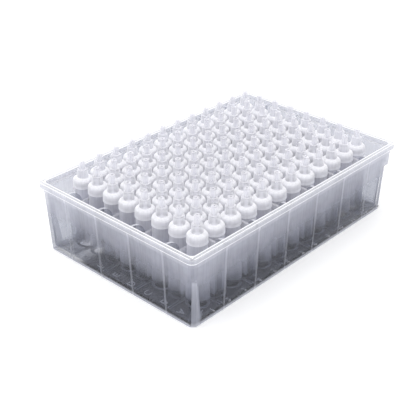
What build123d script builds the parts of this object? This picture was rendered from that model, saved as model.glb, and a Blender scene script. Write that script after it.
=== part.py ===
"""96-well filter plate of clear polypropylene, standing on its deck with its nozzles up.

The frame is +Z up, with the origin at the middle of the deck's outer face. Columns run along +X and
rows along +Y, so the first well lies in the corner towards -X and -Y. All sizes are in millimetres.

The moulding is written as a deck, four sides (skirt, rim and fins) and the wells, which stand on the
deck. These pieces meet each other on flat faces. A filter disc lies in each well.
"""
from build123d import *
import os
from math import atan, degrees, radians, sqrt, tan

# Grid of wells
ROWS = 8
COLUMNS = 12
PITCH = 9.0

# Tray: the rim's outline is the standard footprint of a microplate
EDGE_X = 14.38              # from the middle of an end column to the rim's outer face
EDGE_Y = 11.24              # from the middle of an end row to the rim's outer face
TRAY_TALL = 31.0            # from the deck's outer face to the top of the rim
DECK_THICK = 1.5
WALL_THICK = 1.2
WALL_DRAFT = 2.57           # degrees, opening towards the rim
INSIDE_RADIUS = 0.5         # upright inside corners, at the deck
RIM_WIDE = 2.0              # flat top of the rim
FLANGE_TALL = 2.4
FLANGE_RADIUS = 2.6
FLANGE_ROUND = 0.3          # outer edges of the flange
FLARE_TALL = 2.2            # sloping band under the flange
FLARE_OUT = 0.35

# Corners that are cut off, from the deck up to a small ledge
RELIEF_TALL = 21.5
RELIEF_LEG_FIRST = 1.7      # at the first well
RELIEF_LEG_LAST = 4.2       # at the last well of the first row

# Fins between the skirt and the wells, one in every second gap between wells
FIN_THICK = 1.0
FIN_PLAY = 0.25             # from the foot of a well to the face where its fin meets the side's
FIN_DROP = 1.0              # from the top of the rim to the top of a fin
FIN_SHELF = 1.6             # level part of a fin's top, before it rounds down to the wells

# Well, outside
NOZZLE_OUT = 8.0            # how far the nozzles stand out above the rim
NOZZLE_TALL = 3.6
NOZZLE_R = 1.2
NOZZLE_DRAFT = 0.12         # how much wider the nozzle is at its foot
STEM_TALL = 3.5             # thick stem under the nozzle
STEM_R = 2.1
STEM_DRAFT = 0.25
STEM_ROUND = 0.35
SHOULDER_R = 3.9
SHOULDER_ROUND = 1.4
ROUND_SHARE = 0.95          # largest share of a flat that its round takes
COLLAR_TALL = 3.9
COLLAR_R = 4.13
TUBE_TOP_R = 3.75
TUBE_FOOT_R = 4.78

# Well, inside
MOUTH_R = 3.6
SEAT_R = 3.1                # bore at the seat of the filter disc
SEAT_WIDE = 0.5             # flat ring that the disc lies against
SEAT_DEPTH = 1.9            # below the shoulder's outer face
FUNNEL_TALL = 1.2
OUTLET_R = 0.55

# Filter disc
DISC_TALL = 1.6
DISC_PLAY = 0.12            # around the disc, at the narrow end of its bore
DISC_EDGE = 0.2

# Sizes that follow
DRAFT_SLOPE = tan(radians(WALL_DRAFT))
LAST_X = PITCH * (COLUMNS - 1) / 2
LAST_Y = PITCH * (ROWS - 1) / 2
RIM_X = LAST_X + EDGE_X
RIM_Y = LAST_Y + EDGE_Y
FLANGE_Z = TRAY_TALL - FLANGE_TALL
FLARE_Z = FLANGE_Z - FLARE_TALL
FIN_Z = TRAY_TALL - FIN_DROP
TIP_Z = TRAY_TALL + NOZZLE_OUT
STEM_Z = TIP_Z - NOZZLE_TALL
SHOULDER_Z = STEM_Z - STEM_TALL
COLLAR_Z = SHOULDER_Z - COLLAR_TALL
SEAT_Z = SHOULDER_Z - SEAT_DEPTH
END_REACH = TUBE_FOOT_R + FIN_PLAY
FIELD_X = LAST_X + END_REACH
FIELD_Y = LAST_Y + END_REACH
MARGIN_X = EDGE_X - END_REACH
MARGIN_Y = EDGE_Y - END_REACH
BEYOND_RIM = 2              # the room of a side ends at this many margins from the field of wells
ROW_LETTERS = "abcdefgh"
END_COLUMNS = (0, COLUMNS - 1)
END_ROWS = (0, ROWS - 1)


def inside_at(half_rim, z):
    """Half width of the space inside the skirt at height z, from half the rim's width."""
    return half_rim - RIM_WIDE - (TRAY_TALL - z) * DRAFT_SLOPE


def gaps_with_fins(count):
    """Middles of every second gap between neighbours, in a line of evenly spaced wells."""
    return [(gap - count / 2 + 1) * PITCH for gap in range(0, count, 2)]


# Sides and deck

def skirt_block(grow, low, high, spread):
    """Rounded block that follows the skirt's inside, grown by a wall and widening as it rises."""
    foot = RectangleRounded(
        2 * (inside_at(RIM_X, low) + grow),
        2 * (inside_at(RIM_Y, low) + grow),
        INSIDE_RADIUS + grow + low * DRAFT_SLOPE,
    )
    return extrude(Pos(0, 0, low) * foot, amount=high - low, taper=-degrees(atan(spread)))


def corner_cutter(side_x, leg, deeper):
    """Wedge that takes off a corner towards -Y. Deeper moves it in and up by a wall's thickness."""
    corner = Vector(
        side_x * (inside_at(RIM_X, 0) + WALL_THICK),
        -(inside_at(RIM_Y, 0) + WALL_THICK),
        0,
    )
    outward = Vector(side_x, -1, 0)
    upright = Plane(corner, x_dir=outward, z_dir=outward.cross(Vector(0, 0, 1)))
    face_foot = -leg / sqrt(2) - deeper
    top = RELIEF_TALL + deeper
    beyond = max(EDGE_X, EDGE_Y)
    wedge = Polygon(
        (face_foot, 0), (beyond, 0), (beyond, top), (face_foot + top * DRAFT_SLOPE, top),
        align=None,
    )
    return extrude(upright * wedge, amount=beyond, both=True)


def flange():
    """Upright band around the rim, rounded along its outer edges."""
    band = extrude(
        Pos(0, 0, FLANGE_Z) * RectangleRounded(2 * RIM_X, 2 * RIM_Y, FLANGE_RADIUS),
        amount=FLANGE_TALL,
    )
    return fillet(band.edges().filter_by(Axis.Z, reverse=True), FLANGE_ROUND)


def fin_round(half_rim, last_well):
    """Radius between the level top of a fin and its inner end, which is upright."""
    return inside_at(half_rim, FIN_Z) - FIN_SHELF - last_well - END_REACH


def fin_profile(half_rim, last_well):
    """Outline of a fin in its own plane: distance from the plate's middle, and height."""
    foot_z = DECK_THICK / 2
    inner_end = last_well + END_REACH
    round_r = fin_round(half_rim, last_well)
    with BuildLine() as line:
        Polyline(
            (inner_end, FIN_Z - round_r),
            (inner_end, foot_z),
            (inside_at(half_rim, foot_z) + WALL_THICK / 2, foot_z),
            (inside_at(half_rim, FIN_Z) + WALL_THICK / 2, FIN_Z),
            (inner_end + round_r, FIN_Z),
        )
        RadiusArc((inner_end + round_r, FIN_Z), (inner_end, FIN_Z - round_r), -round_r)
    return make_face(line.line)


def fins():
    """Fins of all four sides, from the skirt to the field of wells."""
    end_profile = fin_profile(RIM_X, LAST_X)
    side_profile = fin_profile(RIM_Y, LAST_Y)
    pieces = []
    for side in (1, -1):
        for y in gaps_with_fins(ROWS):
            plane = Plane((0, y, 0), x_dir=(side, 0, 0), z_dir=(0, -side, 0))
            pieces += extrude(plane * end_profile, amount=FIN_THICK / 2, both=True).solids()
        for x in gaps_with_fins(COLUMNS):
            plane = Plane((x, 0, 0), x_dir=(0, side, 0), z_dir=(side, 0, 0))
            pieces += extrude(plane * side_profile, amount=FIN_THICK / 2, both=True).solids()
    return pieces


def side_room(turn, half_along, margin_along, half_across, margin_across):
    """Prism that holds one side: it starts at the field of wells and splays out through the corners."""
    far_along = half_along + BEYOND_RIM * margin_along
    far_across = half_across + BEYOND_RIM * margin_across
    room = Polygon(
        (-half_along, -half_across), (-far_along, -far_across),
        (far_along, -far_across), (half_along, -half_across),
        align=None,
    )
    return Rot(0, 0, turn) * extrude(room, amount=TIP_Z)


def sides():
    """Front, right, back and left side, each with its skirt, rim, fins and strip of the deck."""
    outside = skirt_block(WALL_THICK, 0, FLANGE_Z, DRAFT_SLOPE)
    outside += skirt_block(WALL_THICK, FLARE_Z, FLANGE_Z, DRAFT_SLOPE + FLARE_OUT / FLARE_TALL)
    outside += flange()
    inside = skirt_block(0, DECK_THICK, TRAY_TALL, DRAFT_SLOPE)
    for side_x, leg in ((-1, RELIEF_LEG_FIRST), (1, RELIEF_LEG_LAST)):
        outside -= corner_cutter(side_x, leg, 0)
        inside -= corner_cutter(side_x, leg, WALL_THICK)
    body = outside - inside
    body = body.fuse(*fins())
    lengthwise = (FIELD_X, MARGIN_X, FIELD_Y, MARGIN_Y)
    crosswise = (FIELD_Y, MARGIN_Y, FIELD_X, MARGIN_X)
    return {
        "front": body & side_room(0, *lengthwise),
        "right": body & side_room(90, *crosswise),
        "back": body & side_room(180, *lengthwise),
        "left": body & side_room(270, *crosswise),
    }


def deck():
    """Plate under the wells, with their mouths cut through it."""
    plate = extrude(Rectangle(2 * FIELD_X, 2 * FIELD_Y), amount=DECK_THICK)
    places = [well_place(column, row) for column in range(COLUMNS) for row in range(ROWS)]
    return plate.cut(*[Pos(*place) * well_bore() for place in places])


# Wells

def well_place(column, row):
    """Middle of a well's mouth. Columns and rows are counted from 0."""
    return (column * PITCH - LAST_X, row * PITCH - LAST_Y, 0)


def well_outside():
    """Solid of revolution: tube, collar, shoulder, stem and nozzle."""
    outline = Polygon(
        (0, DECK_THICK),
        (TUBE_FOOT_R, DECK_THICK),
        (TUBE_TOP_R, COLLAR_Z),
        (COLLAR_R, COLLAR_Z),
        (SHOULDER_R, SHOULDER_Z),
        (STEM_R + STEM_DRAFT, SHOULDER_Z),
        (STEM_R, STEM_Z),
        (NOZZLE_R + NOZZLE_DRAFT, STEM_Z),
        (NOZZLE_R, TIP_Z),
        (0, TIP_Z),
        align=None,
    )
    shoulder_flat = SHOULDER_R - STEM_R - STEM_DRAFT
    shoulder = outline.vertices().sort_by_distance((SHOULDER_R, SHOULDER_Z))[0]
    outline = fillet(shoulder, min(SHOULDER_ROUND, ROUND_SHARE * shoulder_flat))
    stem_flat = STEM_R - NOZZLE_R - NOZZLE_DRAFT
    stem_top = outline.vertices().sort_by_distance((STEM_R, STEM_Z))[0]
    outline = fillet(stem_top, min(STEM_ROUND, ROUND_SHARE * stem_flat))
    return revolve(Plane.XZ * outline, Axis.Z).solid()


def well_bore():
    """Solid of revolution: the space inside a well, from its mouth to the tip of its nozzle."""
    outline = Polygon(
        (0, 0),
        (MOUTH_R, 0),
        (SEAT_R, SEAT_Z),
        (SEAT_R - SEAT_WIDE, SEAT_Z),
        (OUTLET_R, SEAT_Z + FUNNEL_TALL),
        (OUTLET_R, TIP_Z),
        (0, TIP_Z),
        align=None,
    )
    return revolve(Plane.XZ * outline, Axis.Z).solid()


def outward(number):
    """-1 at the first well of a line and 1 at the last."""
    return 1 if number else -1


def inner_fins(column, row):
    """Inner ends of the fins beside an outer well, where they run in between it and its neighbour."""
    x, y, _ = well_place(column, row)
    upright = (Align.CENTER, Align.CENTER, Align.MIN)
    pieces = []
    if column in END_COLUMNS:
        tall = FIN_Z - fin_round(RIM_X, LAST_X) - DECK_THICK
        for gap_y in gaps_with_fins(ROWS):
            if abs(gap_y - y) < PITCH:
                middle = (x + outward(column) * END_REACH / 2, gap_y, DECK_THICK)
                pieces.append(Pos(*middle) * Box(END_REACH, FIN_THICK, tall, align=upright))
    if row in END_ROWS:
        tall = FIN_Z - fin_round(RIM_Y, LAST_Y) - DECK_THICK
        for gap_x in gaps_with_fins(COLUMNS):
            if abs(gap_x - x) < PITCH:
                middle = (gap_x, y + outward(row) * END_REACH / 2, DECK_THICK)
                pieces.append(Pos(*middle) * Box(FIN_THICK, END_REACH, tall, align=upright))
    return [piece.solid() for piece in pieces]


def reach(number, count):
    """How far a well's room goes to the low and the high side, along a line of so many wells."""
    return (
        END_REACH if number == 0 else PITCH / 2,
        END_REACH if number == count - 1 else PITCH / 2,
    )


def well(column, row):
    """Solids of one well with its share of the fins, trimmed flat where it meets its neighbours. The
    fins join a well whose foot is wide enough to reach them, and otherwise stand beside it."""
    x, y, _ = well_place(column, row)
    low_x, high_x = reach(column, COLUMNS)
    low_y, high_y = reach(row, ROWS)
    body = (Pos(x, y, 0) * well_outside()).fuse(*inner_fins(column, row))
    room = extrude(
        Pos(x + (high_x - low_x) / 2, y + (high_y - low_y) / 2, 0)
        * Rectangle(low_x + high_x, low_y + high_y),
        amount=TIP_Z,
    )
    body = body & room
    return body.cut(Pos(x, y, 0) * well_bore()).solids()


def wells(column):
    """Wells of one column, without the plate's four corner wells."""
    rows = [row for row in range(ROWS) if column not in END_COLUMNS or row not in END_ROWS]
    return Compound([piece for row in rows for piece in well(column, row)])


# Filter discs

def filter_disc():
    """Porous disc that lies against the seat of its well."""
    disc = Cylinder(SEAT_R - DISC_PLAY, DISC_TALL, align=(Align.CENTER, Align.CENTER, Align.MAX))
    return Pos(0, 0, SEAT_Z) * chamfer(disc.edges().filter_by(GeomType.CIRCLE), DISC_EDGE)


def disc_row(row):
    """Discs of one row of wells."""
    return Compound([Pos(*well_place(column, row)) * filter_disc().solid() for column in range(COLUMNS)])


os.makedirs("parts", exist_ok=True)
export_step(deck(), "parts/deck.step")
for name, side in sides().items():
    export_step(side, f"parts/side_{name}.step")
for number in range(COLUMNS):
    export_step(wells(number), f"parts/wells_{number + 1}.step")
for column in END_COLUMNS:
    for row in END_ROWS:
        export_step(Compound(well(column, row)), f"parts/well_{ROW_LETTERS[row]}{column + 1}.step")
for number, letter in enumerate(ROW_LETTERS[:ROWS]):
    export_step(disc_row(number), f"parts/filter_discs_{letter}.step")
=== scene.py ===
"""Looks of a clear plastic 96-well filter plate that stands on its deck with its nozzles up.

The plate's solids come from model.glb and keep their shapes. This script gives them
materials, adds the moulded lettering of the deck, and sets up a plain studio stage.
"""
import math

import bpy
import numpy as np
from bpy.props import FloatProperty, FloatVectorProperty, PointerProperty, StringProperty
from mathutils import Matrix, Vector


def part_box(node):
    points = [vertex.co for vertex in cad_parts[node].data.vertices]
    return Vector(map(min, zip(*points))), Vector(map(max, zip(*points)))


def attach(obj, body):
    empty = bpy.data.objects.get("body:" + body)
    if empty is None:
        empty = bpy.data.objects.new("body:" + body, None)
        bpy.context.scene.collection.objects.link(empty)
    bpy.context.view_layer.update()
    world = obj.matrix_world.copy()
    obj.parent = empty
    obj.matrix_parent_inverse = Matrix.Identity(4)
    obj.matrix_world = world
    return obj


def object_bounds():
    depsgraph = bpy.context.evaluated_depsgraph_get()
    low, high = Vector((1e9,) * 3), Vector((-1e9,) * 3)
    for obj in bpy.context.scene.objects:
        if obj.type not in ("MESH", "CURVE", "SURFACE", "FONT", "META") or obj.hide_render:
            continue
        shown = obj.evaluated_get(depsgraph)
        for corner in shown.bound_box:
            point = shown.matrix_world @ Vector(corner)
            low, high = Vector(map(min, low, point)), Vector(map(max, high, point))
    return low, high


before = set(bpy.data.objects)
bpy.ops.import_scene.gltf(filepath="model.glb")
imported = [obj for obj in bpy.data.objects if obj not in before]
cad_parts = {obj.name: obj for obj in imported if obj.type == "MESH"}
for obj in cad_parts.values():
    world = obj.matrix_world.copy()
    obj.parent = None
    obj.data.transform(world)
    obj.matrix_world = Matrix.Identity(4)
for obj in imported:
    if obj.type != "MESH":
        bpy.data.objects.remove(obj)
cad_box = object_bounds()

bl_info = {
    "name": "Filter plate",
    "version": (1, 0, 0),
    "blender": (4, 5, 0),
    "location": "View3D > Sidebar > Plate",
    "description": "Finishes a clear plastic 96-well filter plate around its solid model",
    "category": "Object",
}

MM = 0.001

# Grid of wells
PITCH = 9 * MM
ROW_LETTERS = "ABCDEFGH"
COLUMNS = 12
LAST_X = PITCH * (COLUMNS - 1) / 2
LAST_Y = PITCH * (len(ROW_LETTERS) - 1) / 2

# Sizes of the moulding that the materials follow
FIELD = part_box("deck")[1]            # far corner of the field of wells
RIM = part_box("side_front")[1].z      # height of the rim's top
EDGE = cad_box[1]                    # half widths of the rim, and the height of the nozzles
RIM_WIDE = 2 * MM
WALL_IN = 0.8 * MM                   # from the rim's edge in to the wall's outer face
WALL_SLOPE = 0.0449                  # how far the wall leans out for each unit of height
WALL_THICK = 1.2 * MM
FLANGE_Z = 28.3 * MM                 # underside of the flange that carries the rim
FIN_THICK = 1 * MM
CORNER_TALL = 20.5 * MM              # height of the thick upright corners
CORNER_FADE = 1.5 * MM               # their tops fade over this height
CORNER_FOOT_HALF = 1.7 * MM          # half width of such a corner at its foot
CORNER_TOP_HALF = 1.1 * MM           # and at its top
CORNER_REACH = 4 * MM                # the two walls join within this of a corner's middle
OUTER_LINE = 0.5 * MM                # width of the painted highlight lines along the rim's edges
INNER_LINE = 0.55 * MM
SLACK = 0.1 * MM                     # allowance where a face is told apart by its place
DECK_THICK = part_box("deck")[1].z
FOOT_CLEAR = 5 * MM                  # level faces of the fins above this height are their tops
BORE_WITHIN = 3.65 * MM              # the bores of the wells lie within this of their axes
BORE_TOP = 31.4 * MM                 # and below this height
RING_R = 4.3 * MM                    # ring around the mouth of a well
COLLAR_FROM = 27 * MM                # the thin tubes turn into thick collars between this height
COLLAR_TO = 28 * MM                  # and this one
THIN_THROUGH = 0.5                   # share of the scattered light that goes on through a thin wall
THICK_THROUGH = 0.15                 # and through a thick one
SEAM = 0.02 * MM                     # how near a face lies to count as a seam

# Haze and light
FIN_ROOT_HAZE = 0.28                 # added where a fin backs the wall
POST_HAZE = 0.6                      # added at the corners
RIM_LINE_PAINTED_HIGHLIGHT = 1.5                  # painted highlight added along the rim's two edges
# painted highlight on the fins' upward faces, where light falls from above
FIN_TOP_PAINTED_HIGHLIGHT = 0.45
DECK_HAZE = 0.16
RING_HAZE = 0.34                     # added around the mouths
RELIEF_HAZE = 0.9
LEAST_COSINE = 0.08                  # keeps the way through a wall seen edge-on finite
GLOSS_SQUARE = 0.012                 # share of mirrored light where a face is met squarely
GLOSS_GRAZING = 0.6                  # and what a low angle adds
FACES_DOWN = -0.5                    # a normal's Z below this belongs to an underside
FLOOR_LIFT = 0.2                     # glow of the floor, seen by the camera, and of the card's painted light ends
# painted light: the card's ends glow for the camera though nothing lights them
CARD_PAINTED_GLOW = 0.75
LENS_SHIFT = 0.5 / 420               # share of the picture's width


# Colours and nodes

def linear(hex_colour):
    """Linear RGBA of an sRGB hex colour."""
    channels = [int(hex_colour[i:i + 2], 16) / 255 for i in (1, 3, 5)]
    return [c / 12.92 if c <= 0.04045 else ((c + 0.055) / 1.055) ** 2.4 for c in channels] + [1.0]


def add_node(tree, kind, inputs=None, **settings):
    """Adds a node. Its inputs, by name or number, are sockets to link from or plain values."""
    node = tree.nodes.new(kind)
    for name, value in settings.items():
        setattr(node, name, value)
    for name, value in (inputs or {}).items():
        if isinstance(value, bpy.types.NodeSocket):
            tree.links.new(value, node.inputs[name])
        else:
            node.inputs[name].default_value = value
    return node


def calc(tree, operation, *values):
    """Output of a math node on the given sockets or numbers."""
    return add_node(tree, "ShaderNodeMath", dict(enumerate(values)), operation=operation).outputs[0]


def between(tree, value, start, end, low=0.0, high=1.0):
    """Smooth step from low at start to high at end."""
    inputs = {"Value": value, "From Min": start, "From Max": end, "To Min": low, "To Max": high}
    return add_node(tree, "ShaderNodeMapRange", inputs, interpolation_type="SMOOTHSTEP").outputs[0]


def graded(tree, height, steps):
    """A value or colour that follows the height, from (millimetres, value or sRGB hex) steps."""
    node = add_node(tree, "ShaderNodeValToRGB", {"Fac": calc(tree, "DIVIDE", height, EDGE.z)})
    elements = node.color_ramp.elements
    while len(elements) < len(steps):
        elements.new(1.0)
    for element, (at, value) in zip(elements, steps):
        element.position = at * MM / EDGE.z
        element.color = linear(value) if isinstance(value, str) else (value, value, value, 1)
    return node.outputs["Color"]


def mixed(tree, share, first, second):
    """Mix of two shaders' outputs."""
    return add_node(tree, "ShaderNodeMixShader", {0: share, 1: first, 2: second}).outputs[0]


def new_material(name):
    """An empty node material, its tree and its output node."""
    material = bpy.data.materials.new(name)
    material.use_nodes = True
    material.node_tree.nodes.clear()
    return material, material.node_tree, add_node(material.node_tree, "ShaderNodeOutputMaterial")


def split_axes(tree, vector):
    """X, Y and Z outputs of a vector."""
    return add_node(tree, "ShaderNodeSeparateXYZ", {"Vector": vector}).outputs


def cover(piece, material):
    """Gives a piece one material."""
    piece.data.materials.clear()
    piece.data.materials.append(material)


# Clear plastic

def near_mitre(tree, axes, reach):
    """1 within reach of the upright planes from the corners of the field to the plate's corners."""
    slope = (EDGE.y - FIELD.y) / (EDGE.x - FIELD.x)
    size_x = calc(tree, "ABSOLUTE", axes["X"])
    corner_y = calc(tree, "MULTIPLY_ADD", size_x, slope, FIELD.y - slope * FIELD.x)
    return calc(tree, "COMPARE", calc(tree, "ABSOLUTE", axes["Y"]), corner_y, reach)


def seam_share(tree, axes, normal):
    """1 on the flat faces where the solids of the one moulding meet, and 0 elsewhere: midway
    between wells, around the field of wells, up through the plate's corners, and under the wells'
    feet."""
    size_x = calc(tree, "ABSOLUTE", axes["X"])
    size_y = calc(tree, "ABSOLUTE", axes["Y"])
    on_deck = calc(tree, "COMPARE", axes["Z"], DECK_THICK, SEAM)
    shares = [
        near_mitre(tree, axes, SEAM),
        calc(tree, "MULTIPLY", on_deck, calc(tree, "LESS_THAN", normal["Z"], FACES_DOWN)),
    ]
    for size, field, last in ((size_x, FIELD.x, LAST_X), (size_y, FIELD.y, LAST_Y)):
        on_grid = calc(tree, "LESS_THAN", calc(tree, "PINGPONG", size, PITCH / 2), SEAM)
        shares.append(calc(tree, "MULTIPLY", on_grid, calc(tree, "LESS_THAN", size, last)))
        shares.append(calc(tree, "COMPARE", size, field, SEAM))
    total = shares[0]
    for share in shares[1:]:
        total = calc(tree, "MAXIMUM", total, share)
    return total


def polypropylene(name, settings, haze_at, passes, milk):
    """Natural polypropylene, injection moulded: clear but milky. A wall lets most light straight
    through and scatters the rest, more where it is met at a low angle, because the way through is
    longer there. haze_at(tree, axes, normal) gives the scattering of a face met squarely, passes
    is the tint of the light that goes straight through, and milk the colour of the scattered
    light: one sRGB hex, or steps by height."""
    material, tree, output = new_material(name)
    coordinates = add_node(tree, "ShaderNodeTexCoord")
    place = coordinates.outputs["Object"]
    axes = split_axes(tree, place)
    normal = split_axes(tree, coordinates.outputs["Normal"])
    cloud = add_node(tree, "ShaderNodeTexNoise", {
        "Vector": place, "Scale": 1 / settings.cloud, "Detail": 3.0})
    uneven = between(tree, cloud.outputs["Fac"], 0.3, 0.7, 0.88, 1.12)
    # Flow lines run up and down, so their pattern is drawn out 25 times along the height
    drawn = add_node(tree, "ShaderNodeVectorMath", {
        0: place, 1: (1, 1, 0.04)}, operation="MULTIPLY")
    streak = add_node(tree, "ShaderNodeTexNoise", {
        "Vector": drawn.outputs[0], "Scale": 1 / settings.streak})
    streaky = between(tree, streak.outputs["Fac"], 0.35, 0.65, 0.92, 1.08)
    haze = calc(tree, "MULTIPLY", haze_at(tree, axes, normal), uneven)
    haze = calc(tree, "MULTIPLY", haze, streaky)

    facing = add_node(tree, "ShaderNodeLayerWeight", {"Blend": 0.5}).outputs["Facing"]
    cosine = calc(tree, "MAXIMUM", calc(tree, "SUBTRACT", 1.0, facing), LEAST_COSINE)
    thickness = calc(tree, "DIVIDE", haze, cosine)
    passed = calc(tree, "EXPONENT", calc(tree, "MULTIPLY", thickness, -1.0))
    colour = linear(milk) if isinstance(milk, str) else graded(tree, axes["Z"], milk)
    front_lit = add_node(tree, "ShaderNodeBsdfDiffuse", {"Color": colour}).outputs[0]
    back_lit = add_node(tree, "ShaderNodeBsdfTranslucent", {"Color": colour}).outputs[0]
    through = between(tree, axes["Z"], COLLAR_FROM, COLLAR_TO, THIN_THROUGH, THICK_THROUGH)
    milky = mixed(tree, through, front_lit, back_lit)
    clear = add_node(tree, "ShaderNodeBsdfTransparent", {"Color": linear(passes)}).outputs[0]
    sheet = mixed(tree, passed, milky, clear)

    low_angle = calc(tree, "POWER", facing, 5.0)
    mirrored = calc(tree, "MULTIPLY_ADD", low_angle, GLOSS_GRAZING, GLOSS_SQUARE)
    leaving = add_node(tree, "ShaderNodeNewGeometry").outputs["Backfacing"]
    outer = calc(tree, "SUBTRACT", 1.0, leaving)
    ripple = add_node(tree, "ShaderNodeBump", {
        "Height": cloud.outputs["Fac"], "Distance": settings.ripple})
    gloss = add_node(tree, "ShaderNodeBsdfGlossy", {
        "Roughness": settings.roughness, "Normal": ripple.outputs["Normal"]}).outputs[0]
    surface = mixed(tree, calc(tree, "MULTIPLY", mirrored, outer), sheet, gloss)

    nothing = add_node(tree, "ShaderNodeBsdfTransparent").outputs[0]
    surface = mixed(tree, seam_share(tree, axes, normal), surface, nothing)
    tree.links.new(surface, output.inputs["Surface"])
    return material


# Steps of haze and of milky colour by height in millimetres. The walls' haze and milky colour rise
# towards the rim, and the milky colour of the wells and deck darkens towards the foot, where the
# deck also shows through: painted shade for light that falls off downwards. The white band at the
# flange's lower edge is a painted reflection of light caught inside the flange, and the rim's top
# is painted lighter than the flange's face.
# Painted light: the haze rises towards the rim so the upper wall looks lit, and peaks in a painted
# reflection under the flange
WALL_HAZE_AND_PAINTED_LIGHT = (
    (0, 0.24), (1.4, 0.24), (1.7, 0.03), (13, 0.05), (16, 0.13), (20, 0.23), (24, 0.3),
    (28.3, 0.36), (28.4, 1.6), (28.9, 1.6), (29.05, 0.34), (30.6, 0.34), (30.8, 0.3), (31, 0.3))
FIN_FOOT_HAZE = ((0, 0.16), (1.6, 0.16), (1.65, 0.5), (2.2, 0.5), (2.4, 0.03), (39, 0.05))
TUBE_HAZE = (
    (0, 0.7), (1.8, 0.7), (2.0, 0.02), (3.4, 0.03), (5.2, 0.34), (9, 0.5), (12, 0.5), (16, 0.4),
    (22, 0.36), (27.9, 0.36), (28, 0.9), (28.9, 0.9), (29.2, 0.6), (31.0, 0.6), (31.4, 0.85),
    (31.9, 0.85), (32.2, 0.32), (39, 0.28))
NEAR_BORE_HAZE = (
    (0, 0.01), (5, 0.01), (7, 0.12), (12, 0.2), (22, 0.28), (27.3, 0.28), (27.5, 0.12),
    (31.4, 0.12), (31.6, 0.3))
FAR_BORE_HAZE = (
    (0, 0.4), (12, 0.3), (22, 0.28), (27.3, 0.28), (27.5, 0.12), (31.4, 0.12), (31.6, 0.3))
# Painted shade and light: darker down the wall, white in the painted reflection under the flange,
# lighter on the rim's top than on the flange's face
SIDE_MILK_AND_PAINTED_LIGHT = (
    (0, "#e8e9f0"), (2, "#c0c2cc"), (13, "#d0d2dc"), (20, "#dadbe4"), (28, "#e6e7f0"),
    (28.4, "#fafafd"), (28.9, "#fafafd"), (29.1, "#ecedf4"), (30.5, "#ecedf4"), (30.9, "#fafafd"),
    (39, "#fafafd"))
# painted shade: the deck scatters a greyer light than the same plastic higher up
DECK_MILK_PAINTED_SHADE = "#b8bac4"
# painted shade: the wells' milky colour darkens towards the foot, where less light reaches inside
# the plate
WELL_MILK_AND_PAINTED_SHADE = (
    (0, "#b4b6c0"), (2.3, "#b4b6c0"), (5, "#e0e2ec"), (9, "#ebecf5"), (14, "#f0f1f8"),
    (20, "#f2f3fa"), (24, "#fafafd"), (39, "#fafafd"))


def side_haze(along, across):
    """Haze of the sides that run along one axis: thin and clear at the deck and milkier towards the
    rim, a painted light that grows towards the top, with painted highlight lines along the rim's
    edges and light lines where the fins and corners back the wall."""
    def haze_at(tree, axes, normal):
        height = axes["Z"]
        wall = graded(tree, height, WALL_HAZE_AND_PAINTED_LIGHT)
        edge = {"X": EDGE.x, "Y": EDGE.y}[across]
        size = calc(tree, "ABSOLUTE", axes[across])
        # Painted highlight: light lines along the rim's outer and inner edges, where their
        # roundings catch the light
        top = calc(tree, "GREATER_THAN", height, RIM - SLACK)
        outer_edge = calc(tree, "GREATER_THAN", size, edge - OUTER_LINE)
        inner_edge = calc(tree, "LESS_THAN", size, edge - RIM_WIDE + INNER_LINE)
        painted_edge_highlights = calc(tree, "MULTIPLY", calc(tree, "MAXIMUM", outer_edge, inner_edge), top)
        wall = calc(tree, "MULTIPLY_ADD", painted_edge_highlights, RIM_LINE_PAINTED_HIGHLIGHT, wall)

        face_foot = edge - WALL_IN - RIM * WALL_SLOPE
        upright = calc(tree, "MULTIPLY_ADD", height, -WALL_SLOPE, size)
        backed = calc(tree, "GREATER_THAN", upright, face_foot - WALL_THICK / 3)
        from_fin = calc(tree, "PINGPONG", calc(tree, "ADD", axes[along], PITCH), PITCH)
        under_flange = calc(tree, "LESS_THAN", height, FLANGE_Z)
        fin_root = calc(tree, "MULTIPLY", calc(tree, "LESS_THAN", from_fin, FIN_THICK / 2), backed)
        fin_root = calc(tree, "MULTIPLY", fin_root, under_flange)
        corner_half = between(tree, height, 0, CORNER_TALL, CORNER_FOOT_HALF, CORNER_TOP_HALF)
        below_top = between(tree, height, CORNER_TALL, CORNER_TALL - CORNER_FADE)
        post = calc(tree, "MULTIPLY", near_mitre(tree, axes, corner_half), below_top)
        wall = calc(tree, "MULTIPLY_ADD", fin_root, FIN_ROOT_HAZE, wall)
        wall = calc(tree, "MULTIPLY_ADD", post, POST_HAZE, wall)

        # Painted highlight: the fins' upward faces above the foot are made milkier, as though lit
        # from above
        painted_top_highlight = calc(tree, "MULTIPLY", between(tree, normal["Z"], 0.2, 0.9), FIN_TOP_PAINTED_HIGHLIGHT)
        fin = calc(tree, "MULTIPLY", painted_top_highlight, calc(tree, "GREATER_THAN", height, FOOT_CLEAR))
        fin = calc(tree, "ADD", fin, graded(tree, height, FIN_FOOT_HAZE))
        in_wall = calc(tree, "GREATER_THAN", upright, face_foot - WALL_THICK - SLACK)
        in_wall = calc(tree, "MAXIMUM", in_wall, near_mitre(tree, axes, CORNER_REACH))
        from_wall = calc(tree, "SUBTRACT", wall, fin)
        return calc(tree, "MULTIPLY_ADD", from_wall, in_wall, fin)
    return haze_at


def within(tree, axes, radius):
    """1 within a radius of the nearest well's axis."""
    aside_x, aside_y = [
        calc(tree, "SUBTRACT", PITCH / 2, calc(tree, "PINGPONG", axes[axis], PITCH / 2))
        for axis in ("X", "Y")
    ]
    squares = calc(tree, "MULTIPLY_ADD", aside_x, aside_x, calc(tree, "MULTIPLY", aside_y, aside_y))
    return calc(tree, "LESS_THAN", squares, radius ** 2)


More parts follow.
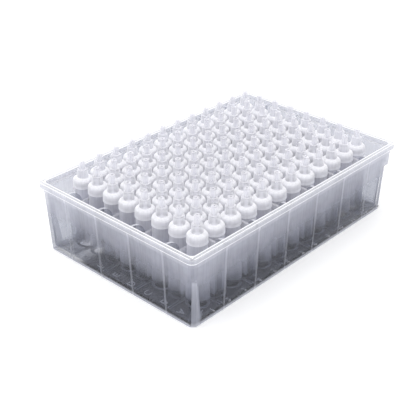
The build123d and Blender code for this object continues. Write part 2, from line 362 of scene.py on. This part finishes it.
def well_haze(tree, axes, normal):
    """Haze of the wells. Outside, the tube is milky where it meets the deck, clear just above,
    milkier upwards, and thick and white at the collar and shoulder. Low in the bore the near side
    is clear and the far side milky, so that the mouth shows through the tube."""
    outside = graded(tree, axes["Z"], TUBE_HAZE)
    near_bore = graded(tree, axes["Z"], NEAR_BORE_HAZE)
    far_bore = graded(tree, axes["Z"], FAR_BORE_HAZE)
    leaving = add_node(tree, "ShaderNodeNewGeometry").outputs["Backfacing"]
    from_far = calc(tree, "SUBTRACT", near_bore, far_bore)
    bore = calc(tree, "MULTIPLY_ADD", from_far, leaving, far_bore)
    low = calc(tree, "LESS_THAN", axes["Z"], BORE_TOP)
    in_bore = calc(tree, "MULTIPLY", within(tree, axes, BORE_WITHIN), low)
    return calc(tree, "MULTIPLY_ADD", calc(tree, "SUBTRACT", bore, outside), in_bore, outside)


def deck_haze(tree, axes, normal):
    """Haze of the deck: even, with a lighter ring around each well's mouth."""
    ring = calc(tree, "SUBTRACT", within(tree, axes, RING_R), within(tree, axes, BORE_WITHIN))
    under = calc(tree, "LESS_THAN", normal["Z"], FACES_DOWN)
    return calc(tree, "MULTIPLY_ADD", calc(tree, "MULTIPLY", ring, under), RING_HAZE, DECK_HAZE)


def even_haze(haze):
    """The same haze all over."""
    return lambda tree, axes, normal: haze


def sintered_polyethylene(settings):
    """Sintered polyethylene: white grains pressed together, dull and slightly rough. Its colour is
    set grey as painted shade, for the little light that reaches the discs inside the collars.
    """
    material, tree, output = new_material("sintered_polyethylene")
    place = add_node(tree, "ShaderNodeTexCoord").outputs["Object"]
    grain = add_node(tree, "ShaderNodeTexVoronoi", {"Vector": place, "Scale": 1 / settings.grain})
    bump = add_node(tree, "ShaderNodeBump", {
        "Height": grain.outputs["Distance"], "Strength": 0.4, "Distance": settings.grain / 4})
    # the base colour carries painted shade: white discs set grey
    shader = add_node(tree, "ShaderNodeBsdfPrincipled", {
        "Base Color": linear(settings.disc_colour_painted_shade), "Roughness": 0.9,
        "Normal": bump.outputs["Normal"]})
    tree.links.new(shader.outputs[0], output.inputs["Surface"])
    return material


# Settings

class PlateSettings(bpy.types.PropertyGroup):
    """Colours and finish of the plate."""
    letter_colour: StringProperty(
        name="Letter colour", description="sRGB hex of the light that the lettering scatters",
        default="#fafafd")
    roughness: FloatProperty(
        name="Roughness", description="Of the moulded faces", default=0.18, min=0, max=1)
    cloud: FloatProperty(
        name="Cloud", description="Size of the uneven spots in the plastic", default=6 * MM,
        unit="LENGTH")
    streak: FloatProperty(
        name="Streak", description="Width of the upright flow lines in the plastic",
        default=0.8 * MM, unit="LENGTH")
    ripple: FloatProperty(
        name="Ripple", description="Depth of the ripple in moulded faces", default=0.03 * MM,
        unit="LENGTH")
    # grey of the discs is painted shade on white sintered polyethylene
    disc_colour_painted_shade: StringProperty(
        name="Disc colour", description="sRGB hex of the filter discs", default="#e2e2e4")
    grain: FloatProperty(
        name="Grain", description="Grain size of the filter discs", default=0.3 * MM,
        unit="LENGTH")
    letter_tall: FloatProperty(
        name="Letter height", description="Height of the row letters", default=3 * MM,
        unit="LENGTH")
    number_tall: FloatProperty(
        name="Number height", description="Height of the column numbers", default=2.3 * MM,
        unit="LENGTH")


class StageSettings(bpy.types.PropertyGroup):
    """Camera, floor and lamps."""
    camera_place: FloatVectorProperty(
        name="Camera", description="Place of the camera",
        default=(-0.24469, -0.21821, 0.19582), unit="LENGTH")
    turn: FloatProperty(
        name="Turn", description="Heading of the camera, from +Y towards +X",
        default=math.radians(47.278), unit="ROTATION")
    tilt: FloatProperty(
        name="Tilt", description="How far the camera looks down",
        default=math.radians(29.875), unit="ROTATION")
    lens: FloatProperty(
        name="Lens", description="Focal length", default=75.73, unit="CAMERA")
    world_level: FloatProperty(
        name="World level", description="Light from all round", default=1.0)
    top_power: FloatProperty(
        name="Top lamp", description="Power of the lamp overhead", default=2.0, unit="POWER")
    side_power: FloatProperty(
        name="Side lamp", description="Power of the lamp at the left", default=0.5, unit="POWER")


# Lettering

def solid_text(text, tall, middle, low, thick):
    """Points and faces of a raised text that is read from below, its middle at the given place."""
    curve = bpy.data.curves.new("text", "FONT")
    curve.body = text
    curve.align_x = "CENTER"
    curve.extrude = 0.5
    shown = bpy.data.objects.new("text", curve)
    bpy.context.scene.collection.objects.link(shown)
    depsgraph = bpy.context.evaluated_depsgraph_get()
    mesh = bpy.data.meshes.new_from_object(shown.evaluated_get(depsgraph))
    bpy.data.objects.remove(shown)
    points = np.zeros(len(mesh.vertices) * 3)
    mesh.vertices.foreach_get("co", points)
    points = points.reshape(-1, 3)
    faces = [list(polygon.vertices) for polygon in mesh.polygons]
    bpy.data.meshes.remove(mesh)
    lowest, highest = points[:, 1].min(), points[:, 1].max()
    scale = tall / (highest - lowest)
    placed = np.column_stack((
        middle[0] + points[:, 0] * scale,
        middle[1] - (points[:, 1] - (lowest + highest) / 2) * scale,
        low + (0.5 - points[:, 2]) * thick,
    ))
    return placed, faces


def joined(name, parts):
    """One mesh object of several (points, faces) parts."""
    points, faces, start = [], [], 0
    for part_points, part_faces in parts:
        points.append(part_points)
        faces += [[start + corner for corner in face] for face in part_faces]
        start += len(part_points)
    mesh = bpy.data.meshes.new(name)
    mesh.from_pydata(np.concatenate(points).tolist(), [], faces)
    piece = bpy.data.objects.new(name, mesh)
    bpy.context.scene.collection.objects.link(piece)
    return piece


# Stage

def flat_card(name, half_x, half_y, z, material):
    """A flat card of the stage."""
    mesh = bpy.data.meshes.new(name)
    corners = [
        (-half_x, -half_y, z), (half_x, -half_y, z), (half_x, half_y, z), (-half_x, half_y, z)]
    mesh.from_pydata(corners, [], [(0, 1, 2, 3)])
    card = bpy.data.objects.new(name, mesh)
    bpy.context.scene.collection.objects.link(card)
    cover(card, material)


def seen_directly(tree):
    """1 for rays from the camera, straight or by a mirror-like bounce."""
    path = add_node(tree, "ShaderNodeLightPath").outputs
    return calc(tree, "MAXIMUM", path["Is Camera Ray"], path["Is Glossy Ray"])


def pale_floor():
    """Pale matt floor, lifted to white where the camera sees it, with the plate's soft shadow."""
    material, tree, output = new_material("pale_floor")
    matt = add_node(tree, "ShaderNodeBsdfDiffuse", {"Color": linear("#f4f4f4")}).outputs[0]
    lift = add_node(tree, "ShaderNodeEmission", {
        "Strength": calc(tree, "MULTIPLY", seen_directly(tree), FLOOR_LIFT)}).outputs[0]
    both = add_node(tree, "ShaderNodeAddShader", {0: matt, 1: lift})
    tree.links.new(both.outputs[0], output.inputs["Surface"])
    return material


def painted_shade_card():
    """Painted shade under the deck: a dark card that stands for the shade beneath the plate and
    shows through the deck, giving way towards two ends to a painted light glow that only the camera
    sees.
    """
    material, tree, output = new_material("painted_shade_card")
    axes = split_axes(tree, add_node(tree, "ShaderNodeTexCoord").outputs["Object"])
    # Painted light: a camera-only glow at the card's left back end and, up to a quarter, towards
    # its right end
    left_end = between(tree, axes["X"], -30 * MM, -50 * MM)
    left_back = calc(tree, "MULTIPLY", left_end, between(tree, axes["Y"], 20 * MM, 27 * MM))
    right_end = between(tree, axes["X"], 10 * MM, 60 * MM, 0.0, 0.25)
    pale = calc(tree, "MAXIMUM", left_back, right_end)
    # Painted shade: near-black for the shade under the plate
    dark = add_node(tree, "ShaderNodeBsdfDiffuse", {"Color": linear("#0a0a0c")}).outputs[0]
    painted_glow = add_node(tree, "ShaderNodeEmission", {
        "Strength": calc(tree, "MULTIPLY", seen_directly(tree), CARD_PAINTED_GLOW)}).outputs[0]
    tree.links.new(mixed(tree, pale, dark, painted_glow), output.inputs["Surface"])
    return material


def studio_world(painted_top_highlight):
    """Even soft light from all round, plain white to the camera."""
    world = bpy.data.worlds.new("studio")
    world.use_nodes = True
    tree = world.node_tree
    tree.nodes.clear()
    light, white = [
        add_node(tree, "ShaderNodeBackground", {
            "Color": linear("#ffffff"), "Strength": strength}).outputs[0]
        for strength in (painted_top_highlight, 1.0)
    ]
    output = add_node(tree, "ShaderNodeOutputWorld")
    tree.links.new(mixed(tree, seen_directly(tree), light, white), output.inputs["Surface"])
    return world


def soft_lamp(name, place, size, power):
    """Square lamp that faces the plate."""
    lamp = bpy.data.lights.new(name, "AREA")
    lamp.shape = "SQUARE"
    lamp.size = size
    lamp.energy = power
    holder = bpy.data.objects.new(name, lamp)
    holder.location = place
    holder.rotation_euler = (-Vector(place)).to_track_quat("-Z", "Y").to_euler()
    bpy.context.scene.collection.objects.link(holder)


# Operators

class PLATE_OT_stage(bpy.types.Operator):
    """Adds the floor, the lamps, the world and the camera"""
    bl_idname = "plate.stage"
    bl_label = "Stage"

    def execute(self, context):
        stage = context.scene.plate_stage
        flat_card("floor", half_x=3, half_y=3, z=-0.4 * MM, material=pale_floor())
        # Painted shade under the deck, with painted light glowing at its ends
        flat_card("painted_shade_under_deck", half_x=60.5 * MM, half_y=39.5 * MM, z=-0.2 * MM,
                  material=painted_shade_card())
        context.scene.world = studio_world(stage.world_level)
        soft_lamp("top_lamp", place=(-0.15, 0.2, 0.8), size=0.7, power=stage.top_power)
        soft_lamp("side_lamp", place=(-0.7, -0.2, 0.5), size=0.5, power=stage.side_power)
        camera = bpy.data.objects.new("camera", bpy.data.cameras.new("camera"))
        camera.data.lens = stage.lens
        camera.data.sensor_width = 36
        camera.data.shift_x = -LENS_SHIFT
        camera.data.shift_y = LENS_SHIFT
        camera.data.clip_start = 10 * MM
        camera.location = stage.camera_place
        camera.rotation_euler = (math.pi / 2 - stage.tilt, 0, -stage.turn)
        context.scene.collection.objects.link(camera)
        context.scene.camera = camera
        context.scene.view_settings.view_transform = "Standard"
        return {"FINISHED"}


class PLATE_OT_sides(bpy.types.Operator):
    """Finishes the four sides as clear moulded plastic"""
    bl_idname = "plate.sides"
    bl_label = "Sides"

    def execute(self, context):
        settings = context.scene.plate
        for names, along, across in ((("side_front", "side_back"), "X", "Y"),
                                     (("side_left", "side_right"), "Y", "X")):
            plastic = polypropylene(
                "moulded_polypropylene_along_" + along.lower(), settings,
                side_haze(along, across), "#ecedf0", SIDE_MILK_AND_PAINTED_LIGHT)
            for name in names:
                cover(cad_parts[name], plastic)
        return {"FINISHED"}


class PLATE_OT_wells(bpy.types.Operator):
    """Finishes the wells and the deck that they stand on"""
    bl_idname = "plate.wells"
    bl_label = "Wells and deck"

    def execute(self, context):
        settings = context.scene.plate
        tubes = polypropylene(
            "moulded_polypropylene_wells", settings, well_haze, "#fafafc", WELL_MILK_AND_PAINTED_SHADE)
        for name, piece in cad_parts.items():
            if name.startswith("well"):
                cover(piece, tubes)
                piece.visible_shadow = False
        sheet = polypropylene(
            "moulded_polypropylene_deck", settings, deck_haze, "#f7f7fa", DECK_MILK_PAINTED_SHADE)
        cover(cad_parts["deck"], sheet)
        return {"FINISHED"}


class PLATE_OT_discs(bpy.types.Operator):
    """Finishes the filter discs"""
    bl_idname = "plate.discs"
    bl_label = "Filter discs"

    def execute(self, context):
        sintered = sintered_polyethylene(context.scene.plate)
        for name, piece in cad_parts.items():
            if name.startswith("filter_discs"):
                cover(piece, sintered)
        return {"FINISHED"}


class PLATE_OT_lettering(bpy.types.Operator):
    """Adds the row letters and column numbers, which are read from under the deck"""
    bl_idname = "plate.lettering"
    bl_label = "Row letters and column numbers"

    def execute(self, context):
        settings = context.scene.plate
        low, thick = 0.05 * MM, 0.2 * MM
        letter_x, number_y = -57.2 * MM, -37.9 * MM
        letters = [
            solid_text(letter, settings.letter_tall,
                       (letter_x, row * PITCH - LAST_Y + 1.2 * MM), low, thick)
            for row, letter in enumerate(ROW_LETTERS)
        ]
        numbers = [
            solid_text(str(column + 1), settings.number_tall,
                       (column * PITCH - LAST_X + 1 * MM, number_y), low, thick)
            for column in range(COLUMNS)
        ]
        relief = polypropylene(
            "frosted_polypropylene_relief", settings, even_haze(RELIEF_HAZE), "#f7f7fa",
            settings.letter_colour)
        for name, parts in (("row_letters", letters), ("column_numbers", numbers)):
            piece = joined(name, parts)
            cover(piece, relief)
            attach(piece, "root")
        return {"FINISHED"}


class PLATE_PT_panel(bpy.types.Panel):
    """Buttons for the plate's pieces"""
    bl_label = "Plate"
    bl_space_type = "VIEW_3D"
    bl_region_type = "UI"
    bl_category = "Plate"

    def draw(self, context):
        for step in STEPS:
            self.layout.operator(step.bl_idname)


STEPS = (PLATE_OT_stage, PLATE_OT_sides, PLATE_OT_wells, PLATE_OT_discs, PLATE_OT_lettering)
CLASSES = (PlateSettings, StageSettings, *STEPS, PLATE_PT_panel)


def register():
    for cls in CLASSES:
        bpy.utils.register_class(cls)
    bpy.types.Scene.plate = PointerProperty(type=PlateSettings)
    bpy.types.Scene.plate_stage = PointerProperty(type=StageSettings)


def unregister():
    del bpy.types.Scene.plate_stage
    del bpy.types.Scene.plate
    for cls in reversed(CLASSES):
        bpy.utils.unregister_class(cls)


def main():
    register()
    for step in STEPS:
        group, name = step.bl_idname.split(".")
        getattr(getattr(bpy.ops, group), name)()


if __name__ == "__main__":
    main()
